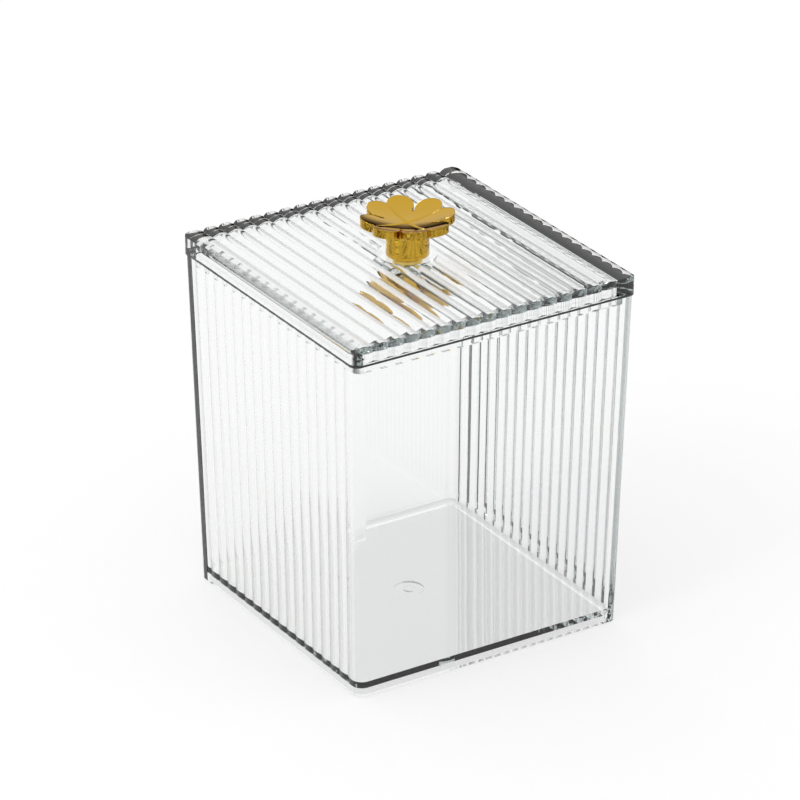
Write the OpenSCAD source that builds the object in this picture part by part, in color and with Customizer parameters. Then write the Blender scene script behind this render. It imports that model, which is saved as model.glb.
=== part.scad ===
// Square clear storage box with fluted side walls, a lift-off ribbed lid and
// a gilt clover knob held by one screw from under the lid.
// Origin: centre of the foot's underside. +Z up, -Y is the plain front wall,
// the fluted walls face -X and +X, and the lid's ribs run along Y.

/* [Box] */
// Height of the box without its lid
box_h = 93.5; // [60:0.1:140]
// Outer width and depth at the mouth
box_top = 83.8; // [70:0.1:110]
// How far each wall leans out from the foot to the mouth
lean = 2.1; // [0.5:0.1:4]
// Outer radius of the upright corners
corner_r = 2.6; // [1:0.1:5]
// Inner radius of the upright corners
inner_r = 1.6; // [0.5:0.1:4]
// Thickness of the four walls
wall = 2; // [1.4:0.1:3]
// Thickness of the floor plate
floor_t = 1.8; // [1.2:0.1:3]
// Height of the foot rim below the floor plate
foot_h = 1.8; // [0.8:0.1:4]
// Width of the foot rim
foot_w = 2; // [1.2:0.1:4]

/* [Fluting] */
// Width of one rib of the lid, and of one flute at the mouth of the box
rib_pitch = 4.52; // [3:0.02:4.6]
// Radius of each rounded flute on the box
flute_r = 6; // [4:0.1:12]
// Number of flutes on a side wall
flute_count = 18; // [5:1:18]
// Height of the plain band below the flutes
band_h = 2.4; // [1:0.1:8]

/* [Gate mark] */
// Diameter of the gate dimple under the floor
gate_d = 8; // [4:0.5:14]
// Depth of the gate dimple
gate_depth = 0.5; // [0.2:0.1:0.9]
// Diameter of the trimmed sprue stub in the dimple
stub_d = 3.2; // [1:0.1:3.8]
// Length of the trimmed sprue stub
stub_h = 0.4; // [0.2:0.1:0.6]

/* [Lid] */
// How far the lid stands out past the mouth of the box on each side
overhang = 0.1; // [0:0.05:1]
// Height of the lid's outer edge, rib crests included
lid_h = 5.5; // [4:0.1:9]
// Radius of the lid's upright corners
lid_corner_r = 2; // [0.8:0.1:4]
// Thickness of the lid plate up to the rib valleys
plate_t = 2.6; // [1.6:0.1:3]
// Radius of the lid's front and back shoulders
shoulder_r = 0.4; // [0.2:0.1:2]
// Radius of each rounded rib on the lid
rib_r = 4.2; // [4:0.1:12]
// Number of equal ribs on the lid, between a wider one at each side
rib_count = 16; // [5:1:16]
// Height of the plain edge below the ribs on the lid's front and back faces
edge_h = 0.9; // [0.4:0.1:2]
// Width of the rim under the lid, locating lip included
rim_w = 4.1; // [3:0.1:6]
// Depth of the locating lip below the mouth of the box
lip_depth = 2.4; // [1:0.1:6]
// Gap on each side between the lip and the walls of the box
lip_clearance = 0.3; // [0.1:0.05:0.8]
// Diameter of the flat seat under the knob
seat_d = 15.4; // [13:0.1:24]
// Height of the knob seat above the rib crests
seat_h = 0.2; // [0.1:0.1:2]

/* [Knob] */
// Diameter of the knob's stem
stem_d = 11.2; // [8:0.1:12]
// Height of the knob above its seat, leaf tips included
knob_h = 10.8; // [8:0.1:20]
// Radius from the knob's axis to the outside of the leaf lobes
clover_r = 12.3; // [10:0.1:16]
// Radius of each of the two round lobes of a leaf
lobe_r = 3.5; // [2.6:0.05:4]
// Angle of each lobe from the middle of its leaf
lobe_angle = 20; // [16:0.5:24]
// Radius of the web that joins the four leaves
hub_r = 6; // [4.5:0.1:8]
// Thickness of the leaves
leaf_t = 2.2; // [1:0.1:3]
// Rise of the leaf tips above the middle of the dish
dish_rise = 2.3; // [1:0.1:6]
// Depth of the fold down each leaf, in the middle of the dish
crease_d = 0.5; // [0.2:0.1:1]
// Radius from the knob's axis at which the folds run out
crease_reach = 10; // [4:0.5:11]

/* [Screw] */
// Diameter of the screw's shank
screw_d = 4; // [3:0.5:5]
// Length of the shank inside the knob
screw_reach = 5; // [3:0.5:6]
// Clearance on the diameter of the hole through the lid
hole_clearance = 0.4; // [0.2:0.1:1]
// Diameter of the screw's pan head
head_d = 7.6; // [6:0.1:9]
// Height of the screw's pan head
head_h = 2.4; // [1.4:0.1:3.2]
// Width across the arms of the cross recess
recess_w = 4; // [2:0.1:5]
// Width of one arm of the cross recess
recess_t = 0.9; // [0.5:0.1:1.2]
// Depth of the cross recess
recess_depth = 1.3; // [0.6:0.1:2]

/* [Hidden] */
$fn = 64;
over = 1;
leaves = 4;
// Rib crests stay this far inside the flat faces, so that none only touches one
skin = 0.04;

// Lean of each wall away from upright
draft = atan(lean / box_h);
box_bottom = box_top - 2 * lean;
floor_top = foot_h + floor_t;
lid_w = box_top + 2 * overhang;
lid_z = box_h;
crest_z = lid_z + lid_h;
plate_z = crest_z - skin - valley(rib_r) - plate_t;
lip_w = box_top - 2 * wall - 2 * lip_clearance;
lip_z = lid_z - lip_depth;
seat_z = crest_z + seat_h;
knob_top = seat_z + knob_h;
dish_z = knob_top - dish_rise;
neck_z = dish_z - leaf_t;
// Sphere radii that give the dish its rise at the leaf tips
dish_r = (clover_r * clover_r + dish_rise * dish_rise) / (2 * dish_rise);
crease_r = 1 / (1 / dish_r + 2 * crease_d / (crease_reach * crease_reach));
lobe_c = clover_r - lobe_r;

// Outer width of the box at height z
function width_at(z) = box_bottom + 2 * lean * z / box_h;

// Depth from the crest of a rib of radius r to the valley beside it
function valley(r) = r - sqrt(r * r - rib_pitch * rib_pitch / 4);

// Square with four round corners
module rounded_square(w, r) {
    flat = w / 2 - r;
    hull() {
        for (x = [-flat, flat], y = [-flat, flat]) {
            translate([x, y]) circle(r);
        }
    }
}

// Square block whose sides lean out as the walls do, from height z0 to z1
module leaning_block(z0, z1, inset, r) {
    w0 = width_at(z0) - 2 * inset;
    w1 = width_at(z1) - 2 * inset;
    translate([0, 0, z0]) linear_extrude(height = z1 - z0, scale = w1 / w0) rounded_square(w0, r);
}

// What is cut away to leave a row of rounded ribs along Z, from start to length.
// The crests lie a skin below the plane x = 0. Where the row is wider than its
// ribs of radius r, one wider rib at each end fills what is left.
// The ribs fan out: at z = 0 the row is foot_share as wide as at z = length.
module rib_cutter(r, count, width, length, start = 0, foot_share = 1) {
    deep = valley(r);
    end_w = (width - count * rib_pitch) / 2;
    end_r = (end_w * end_w / 4 + deep * deep) / (2 * deep);
    function half(z) = width / 2 * (foot_share + (1 - foot_share) * z / length);
    top = length + over;
    difference() {
        translate([-deep - skin, 0, 0]) rotate([90, 0, 90]) linear_extrude(height = deep + over)
            polygon([[-half(start), start], [half(start), start], [half(top), top], [-half(top), top]]);
        for (i = [0 : count - 1]) {
            fanned_rib(r, (i + 0.5 - count / 2) * rib_pitch, length, foot_share);
        }
        for (side = end_w > 0 ? [-1, 1] : []) {
            fanned_rib(end_r, side * (width - end_w) / 2, length, foot_share);
        }
    }
}

// One rib with its crest at y where z = length
module fanned_rib(r, y, length, foot_share) {
    fan = atan(y * (1 - foot_share) / length);
    translate([-r - skin, y * foot_share, 0]) rotate([-fan, 0, 0])
        translate([0, 0, -2 * over]) cylinder(r = r, h = length + 4 * over, $fn = 96);
}

// Flutes on one leaning side wall, from the plain band up to the mouth. The row
// ends just before the crests of its two outermost flutes
module flute_cutter() {
    row = (flute_count - 1.25) * rib_pitch;
    translate([box_bottom / 2, 0, 0]) rotate([0, draft, 0])
        rib_cutter(flute_r, flute_count, row, box_h / cos(draft), band_h, box_bottom / box_top);
}

module box() {
    color("lightcyan", 0.4) difference() {
        leaning_block(0, box_h, 0, corner_r);
        leaning_block(floor_top, box_h + over, wall, inner_r);
        translate([0, 0, -over]) linear_extrude(height = foot_h + over)
            rounded_square(box_bottom - 2 * foot_w, inner_r);
        flute_cutter();
        mirror([1, 0, 0]) flute_cutter();
        gate_dimple();
    }
}

// Ring-shaped dimple round the trimmed sprue in the middle of the floor
module gate_dimple() {
    difference() {
        translate([0, 0, foot_h - over]) cylinder(d = gate_d, h = gate_depth + over);
        translate([0, 0, foot_h + gate_depth - stub_h]) cylinder(d = stub_d, h = stub_h + over);
    }
}

// Outline of the lid from the side: two square lower edges, two round shoulders
module lid_profile() {
    half = lid_w / 2;
    translate([-half, 0]) square([lid_w, lid_h - shoulder_r]);
    translate([-half + shoulder_r, 0]) square([lid_w - 2 * shoulder_r, lid_h]);
    for (y = [-half + shoulder_r, half - shoulder_r]) {
        translate([y, lid_h - shoulder_r]) circle(shoulder_r);
    }
}

// Solid lid before its ribs: the plan and the side outline together
module lid_block() {
    intersection() {
        translate([0, 0, lid_z]) linear_extrude(height = lid_h) rounded_square(lid_w, lid_corner_r);
        translate([-lid_w / 2 - over, 0, lid_z]) rotate([90, 0, 90])
            linear_extrude(height = lid_w + 2 * over) lid_profile();
    }
}

// Ribs along the top of the lid, in a row that reaches a little past its sides
module top_rib_cutter() {
    translate([0, lid_w / 2 + over, crest_z]) rotate([0, -90, 90])
        rib_cutter(rib_r, rib_count, lid_w + over / 2, lid_w + over);
}

// The same ribs where they turn down over the back shoulder
module drop_rib_cutter() {
    translate([0, lid_w / 2, lid_z + edge_h]) rotate([0, 0, 90])
        rib_cutter(rib_r, rib_count, lid_w + over / 2, lid_h - edge_h);
}

module lid() {
    color("lightcyan", 0.4) difference() {
        union() {
            difference() {
                lid_block();
                top_rib_cutter();
                drop_rib_cutter();
                mirror([0, 1, 0]) drop_rib_cutter();
            }
            translate([0, 0, lip_z]) linear_extrude(height = plate_z - lip_z + over / 2)
                rounded_square(lip_w, inner_r);
            translate([0, 0, plate_z]) cylinder(d = seat_d, h = seat_z - plate_z);
        }
        translate([0, 0, lip_z - over]) linear_extrude(height = plate_z - lip_z + over)
            rounded_square(lid_w - 2 * rim_w, lid_corner_r / 2);
        translate([0, 0, plate_z - over]) cylinder(d = screw_d + hole_clearance, h = seat_z - plate_z + 2 * over);
    }
}

// Plan of the clover: four heart-shaped leaves on a round web
module clover_plan() {
    circle(hub_r);
    for (i = [0 : leaves - 1]) {
        rotate(i * 360 / leaves) leaf_plan();
    }
}

// One leaf along +X: two round lobes and the wedge that runs to the middle,
// whose flanks enter the lobes just inside the points where they would touch
module leaf_plan() {
    edge_angle = 0.96 * asin(lobe_r / lobe_c) + lobe_angle;
    reach = lobe_c * cos(edge_angle - lobe_angle);
    for (side = [-1, 1]) {
        translate([lobe_c * cos(lobe_angle), side * lobe_c * sin(lobe_angle)]) circle(lobe_r);
    }
    polygon([
        [0, 0],
        [reach * cos(edge_angle), -reach * sin(edge_angle)],
        [lobe_c * cos(lobe_angle), -lobe_c * sin(lobe_angle)],
        [lobe_c * cos(lobe_angle), lobe_c * sin(lobe_angle)],
        [reach * cos(edge_angle), reach * sin(edge_angle)]
    ]);
}

// Hollow of the dish: a ball that rests on the middle of the knob, turned so
// that its poles lie far from the leaves
module dish_ball(radius) {
    translate([0, 0, dish_z + dish_r]) rotate([0, -90, 0]) sphere(r = radius, $fn = 128);
}

// The clover between the hollow of the dish and its rounded underside
module dished_clover() {
    difference() {
        intersection() {
            translate([0, 0, neck_z - over]) linear_extrude(height = leaf_t + dish_rise + 3 * over) clover_plan();
            dish_ball(dish_r + leaf_t);
        }
        dish_ball(dish_r);
    }
}

// Fold down the middle of two opposite leaves: the edge of a wide blunt blade,
// which is deepest in the middle of the dish and rises out of it towards the tips
module crease() {
    edge = 4 * crease_d;
    translate([0, 0, dish_z - crease_d + crease_r]) rotate([90, 0, 0]) rotate_extrude($fn = 128)
        polygon([[crease_r - edge, -edge], [crease_r, 0], [crease_r - edge, edge]]);
}

module knob() {
    color("gold") difference() {
        union() {
            dished_clover();
            translate([0, 0, seat_z]) cylinder(d = stem_d, h = neck_z - seat_z + leaf_t / 2);
        }
        crease();
        rotate([0, 0, 90]) crease();
        translate([0, 0, seat_z - over]) cylinder(d = screw_d, h = screw_reach + 2 * over);
    }
}

// Pan-head screw, driven up through the lid into the knob
module knob_screw() {
    head_z = plate_z - head_h;
    color("khaki") difference() {
        union() {
            translate([0, 0, plate_z - head_h / 2]) cylinder(d = head_d, h = head_h / 2);
            translate([0, 0, head_z]) cylinder(d1 = head_d - head_h / 2, d2 = head_d, h = head_h / 2, $fn = 64);
            translate([0, 0, plate_z - head_h / 2]) cylinder(d = screw_d, h = seat_z - plate_z + head_h / 2 + screw_reach);
        }
        for (a = [0, 90]) {
            rotate(a) translate([-recess_w / 2, -recess_t / 2, head_z - over])
                cube([recess_w, recess_t, recess_depth + over]);
        }
    }
}

box();
lid();
knob();
knob_screw();
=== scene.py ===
import math

import bpy
from mathutils import Matrix, Vector

# The frame
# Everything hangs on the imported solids: a clear box, its lift-off lid, the
# gilt knob and the one screw that holds it. All of it is one body at rest.
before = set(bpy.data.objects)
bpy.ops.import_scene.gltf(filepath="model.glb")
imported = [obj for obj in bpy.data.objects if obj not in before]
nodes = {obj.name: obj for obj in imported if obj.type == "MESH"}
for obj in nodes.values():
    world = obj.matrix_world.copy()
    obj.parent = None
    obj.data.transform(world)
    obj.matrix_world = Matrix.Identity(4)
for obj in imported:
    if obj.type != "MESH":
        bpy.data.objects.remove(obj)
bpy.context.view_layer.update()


# Camera
# A long lens from the front left and a little above, so that the plain front
# wall shows on the right and a fluted wall on the left.
MM = 0.001
TURN = math.radians(32.26)
RISE = math.radians(25.71)
ROLL = math.radians(0.05)
LENS_DISTANCE = 1239.5 * MM
LOOK_HEIGHT = 47.5 * MM
SHIFT_RIGHT = -1.87 * MM
SHIFT_UP = 9.09 * MM
FOCAL_PIXELS = 4782
IMAGE_PIXELS = 800
SENSOR_WIDTH = 36
NEAREST = 50 * MM
FARTHEST = 20

back = Vector((-math.sin(TURN) * math.cos(RISE), -math.cos(TURN) * math.cos(RISE), math.sin(RISE)))
right = Vector((math.cos(TURN), -math.sin(TURN), 0))
up = back.cross(right)
camera_data = bpy.data.cameras.new("camera")
camera_data.sensor_width = SENSOR_WIDTH
camera_data.lens = SENSOR_WIDTH * FOCAL_PIXELS / IMAGE_PIXELS
camera_data.clip_start = NEAREST
camera_data.clip_end = FARTHEST
camera = bpy.data.objects.new("camera", camera_data)
bpy.context.scene.collection.objects.link(camera)
place = Vector((0, 0, LOOK_HEIGHT)) + back * LENS_DISTANCE + right * SHIFT_RIGHT + up * SHIFT_UP
turned = Matrix((right, up, back)).transposed().to_4x4()
camera.matrix_world = Matrix.Translation(place) @ turned @ Matrix.Rotation(ROLL, 4, "Z")
bpy.context.scene.camera = camera
bpy.context.scene.view_settings.view_transform = "Standard"

# Light passes many walls of clear plastic before it leaves the box
WALLS_PASSED = 40
MIRRORED = 12
cycles = bpy.context.scene.cycles
cycles.max_bounces = WALLS_PASSED
cycles.transmission_bounces = WALLS_PASSED
cycles.glossy_bounces = MIRRORED


# Box
# One clear cup with two fluted walls, injection moulded in general-purpose
# styrene in a polished tool: hard gloss, a faint wave in the walls from shrinkage.
def linear(hex_colour):
    """sRGB hex to the linear red, green, blue and alpha that a socket takes."""
    parts = [int(hex_colour[i:i + 2], 16) / 255 for i in (1, 3, 5)]
    return [c / 12.92 if c <= 0.04045 else ((c + 0.055) / 1.055) ** 2.4 for c in parts] + [1]


def add(tree, kind, links=(), **settings):
    """A node of that kind: settings are its own, or its sockets' where the name is one."""
    node = tree.nodes.new(kind)
    for name, value in settings.items():
        socket = node.inputs.get(name.replace("_", " "))
        if socket is None:
            setattr(node, name, value)
        else:
            socket.default_value = value
    for source, socket in links:
        tree.links.new(source, node.inputs[socket])
    return node


STYRENE_IOR = 1.59
SHRINK_LENGTH = 25 * MM
SHRINK_HEIGHT = 0.03 * MM
# Absorption for each metre, matched to how grey the long edges look
STYRENE_DENSITY = 30.0

box_plastic = bpy.data.materials.new("clear_styrene_moulded")
box_plastic.use_nodes = True
tree = box_plastic.node_tree
tree.nodes.clear()
place_on = add(tree, "ShaderNodeTexCoord")
wave = add(tree, "ShaderNodeTexNoise", [(place_on.outputs["Object"], "Vector")],
           Scale=1 / SHRINK_LENGTH, Detail=1.0)
bump = add(tree, "ShaderNodeBump", [(wave.outputs["Fac"], "Height")],
           Strength=1.0, Distance=SHRINK_HEIGHT)
shader = add(tree, "ShaderNodeBsdfPrincipled", [(bump.outputs[0], "Normal")],
             Base_Color=linear("#ffffff"), IOR=STYRENE_IOR, Roughness=0.0, Transmission_Weight=1.0)
tint = add(tree, "ShaderNodeVolumeAbsorption", Color=linear("#c3cccb"), Density=STYRENE_DENSITY)
add(tree, "ShaderNodeOutputMaterial", [(shader.outputs[0], "Surface"), (tint.outputs[0], "Volume")])
nodes["box"].data.materials.clear()
nodes["box"].data.materials.append(box_plastic)


# Lid
# A second moulding of the same styrene: ribs on top and over the front and back
# edges, a locating lip below. It only rests in the box's mouth.
SINK_LENGTH = 4 * MM
SINK_DEPTH = 0.015 * MM

lid_plastic = box_plastic.copy()
lid_plastic.name = "clear_styrene_lid"
tree = lid_plastic.node_tree
# Sink marks between the ribs ripple its faces
place_on = add(tree, "ShaderNodeTexCoord")
sinks = add(tree, "ShaderNodeTexNoise", [(place_on.outputs["Object"], "Vector")],
            Scale=1 / SINK_LENGTH, Detail=0.0)
ripple = add(tree, "ShaderNodeBump",
             [(sinks.outputs["Fac"], "Height"), (tree.nodes["Bump"].outputs[0], "Normal")],
             Strength=1.0, Distance=SINK_DEPTH)
tree.links.new(ripple.outputs[0], tree.nodes["Principled BSDF"].inputs["Normal"])
nodes["lid"].data.materials.clear()
nodes["lid"].data.materials.append(lid_plastic)


# Knob
# A zinc casting, polished by hand and gold-plated, so that its edges are soft
# and its faces a little uneven. It is screwed down on the lid's round seat.
WORN_EDGE = 0.35 * MM
EDGE_SAMPLES = 6
DENT_WIDTH = 9 * MM
DENT_DEPTH = 0.05 * MM
POLISHED = 0.06

gilt = bpy.data.materials.new("gold_plated_zinc_polished")
gilt.use_nodes = True
tree = gilt.node_tree
tree.nodes.clear()
place_on = add(tree, "ShaderNodeTexCoord")
soft_edges = add(tree, "ShaderNodeBevel", Radius=WORN_EDGE, samples=EDGE_SAMPLES)
# Polishing leaves shallow dents
dents = add(tree, "ShaderNodeTexNoise", [(place_on.outputs["Object"], "Vector")],
            Scale=1 / DENT_WIDTH, Detail=0.0)
bump = add(tree, "ShaderNodeBump",
           [(dents.outputs["Fac"], "Height"), (soft_edges.outputs[0], "Normal")],
           Strength=1.0, Distance=DENT_DEPTH)
shader = add(tree, "ShaderNodeBsdfPrincipled", [(bump.outputs[0], "Normal")],
             Base_Color=linear("#c49c36"), Metallic=1.0, Roughness=POLISHED)
add(tree, "ShaderNodeOutputMaterial", [(shader.outputs[0], "Surface")])
nodes["knob"].data.materials.clear()
nodes["knob"].data.materials.append(gilt)


# Knob screw
# A pan-head machine screw of brass-plated steel, driven up through the lid.
# Its head shows only through the plastic, below the knob.
PLATED = 0.25

brass = bpy.data.materials.new("brass_plated_steel")
brass.use_nodes = True
shader = brass.node_tree.nodes["Principled BSDF"]
shader.inputs["Base Color"].default_value = linear("#d9bd6a")
shader.inputs["Metallic"].default_value = 1.0
shader.inputs["Roughness"].default_value = PLATED
nodes["knob_screw"].data.materials.clear()
nodes["knob_screw"].data.materials.append(brass)


# Floor
# The sheet of white paper on which the box stands, a hair below its foot.
REACH = 0.8
HAIR = 0.2 * MM
# The paper is lit through from below as far as the eye, metal and plastic see
# it, so it stays white and keeps a weak shadow of the box
LIT_SHARE = 0.62

floor_mesh = bpy.data.meshes.new("floor")
corners = [(-REACH, -REACH, 0), (REACH, -REACH, 0), (REACH, REACH, 0), (-REACH, REACH, 0)]
floor_mesh.from_pydata(corners, [], [(0, 1, 2, 3)])
floor = bpy.data.objects.new("floor", floor_mesh)
bpy.context.scene.collection.objects.link(floor)
floor.location.z = -HAIR
paper = bpy.data.materials.new("white_paper")
paper.use_nodes = True
tree = paper.node_tree
tree.nodes.clear()
sheet = add(tree, "ShaderNodeBsdfDiffuse", Color=linear("#fafafa"))
glow = add(tree, "ShaderNodeEmission", Color=linear("#ffffff"), Strength=1.0)
ray = add(tree, "ShaderNodeLightPath")
seen = add(tree, "ShaderNodeMath",
           [(ray.outputs["Is Camera Ray"], 0), (ray.outputs["Is Glossy Ray"], 1)],
           operation="MAXIMUM")
seen_through = add(tree, "ShaderNodeMath",
                   [(seen.outputs[0], 0), (ray.outputs["Is Transmission Ray"], 1)],
                   operation="MAXIMUM")
share = add(tree, "ShaderNodeMath", [(seen_through.outputs[0], 0)], operation="MULTIPLY")
share.inputs[1].default_value = LIT_SHARE
lit = add(tree, "ShaderNodeMixShader",
          [(share.outputs[0], 0), (sheet.outputs[0], 1), (glow.outputs[0], 2)])
add(tree, "ShaderNodeOutputMaterial", [(lit.outputs[0], "Surface")])
floor_mesh.materials.append(paper)


# Light
# A white ceiling and a grey room at the height of the table, which draws the
# edges of the clear plastic. The metal shows the room's dark wooden floor too.
ROOM_STRENGTH = 1.05

room = bpy.data.worlds.new("studio")
bpy.context.scene.world = room
room.use_nodes = True
tree = room.node_tree
sky = tree.nodes["Background"]
way = add(tree, "ShaderNodeTexCoord").outputs["Generated"]
height = add(tree, "ShaderNodeSeparateXYZ", [(way, 0)])
ray = add(tree, "ShaderNodeLightPath")

# The walls are grey up to 6 degrees and turn white by 17
grey_share = add(tree, "ShaderNodeMapRange", [(height.outputs["Z"], "Value")],
                 From_Min=0.30, From_Max=0.10)
ceiling = add(tree, "ShaderNodeMix", [(grey_share.outputs[0], 0)], data_type="RGBA")
ceiling.inputs[6].default_value = linear("#ffffff")
ceiling.inputs[7].default_value = linear("#8e908e")

# A grey door on the right-hand side, 35 to 44 degrees to each side of its middle
side = add(tree, "ShaderNodeVectorMath", [(way, 0)], operation="DOT_PRODUCT")
side.inputs[1].default_value = Vector((0.95, 0.30, 0.05)).normalized()
side_share = add(tree, "ShaderNodeMapRange", [(side.outputs["Value"], "Value")],
                 From_Min=0.72, From_Max=0.82)
door = add(tree, "ShaderNodeMix", [(side_share.outputs[0], 0), (ceiling.outputs[2], 6)],
           data_type="RGBA")
door.inputs[7].default_value = linear("#8e8c86")

# What a bright face mirrors, from the dark floor of the room up to its ceiling
mirrored = add(tree, "ShaderNodeValToRGB", [(height.outputs["Z"], 0)])
stops = mirrored.color_ramp.elements
stops[0].position, stops[0].color = 0.12, linear("#1c150a")
stops[1].position, stops[1].color = 0.36, linear("#f4f4f4")
stops.new(0.24).color = linear("#8c8474")
stops.new(0.50).color = linear("#ffffff")
# Refracted rays count as glossy too, so they are taken off
by_mirror = add(tree, "ShaderNodeMath",
                [(ray.outputs["Is Glossy Ray"], 0), (ray.outputs["Is Transmission Ray"], 1)],
                operation="SUBTRACT", use_clamp=True)
seen_in_metal = add(tree, "ShaderNodeMix",
                    [(by_mirror.outputs[0], 0), (door.outputs[2], 6), (mirrored.outputs[0], 7)],
                    data_type="RGBA")
plain = add(tree, "ShaderNodeMix",
            [(ray.outputs["Is Camera Ray"], 0), (seen_in_metal.outputs[2], 6)], data_type="RGBA")
plain.inputs[7].default_value = linear("#ffffff")
tree.links.new(plain.outputs[2], sky.inputs["Color"])
sky.inputs["Strength"].default_value = ROOM_STRENGTH

# A square soft lamp high on the left, and a narrow one low behind for the pale
# streaks in the gold: width and height in metres, watts, place
lamps = {"key": (0.5, 0.5, 3, (-0.9, -0.1, 1.0)), "strip": (0.3, 0.12, 0.5, (0.2, 0.95, 0.37))}
for name, (width, tall, watts, spot) in lamps.items():
    lamp_data = bpy.data.lights.new(name, "AREA")
    lamp_data.shape = "RECTANGLE"
    lamp_data.size = width
    lamp_data.size_y = tall
    lamp_data.energy = watts
    lamp = bpy.data.objects.new(name, lamp_data)
    bpy.context.scene.collection.objects.link(lamp)
    lamp.location = spot
    aim = Vector((0, 0, LOOK_HEIGHT)) - lamp.location
    lamp.rotation_euler = aim.to_track_quat("-Z", "Y").to_euler()
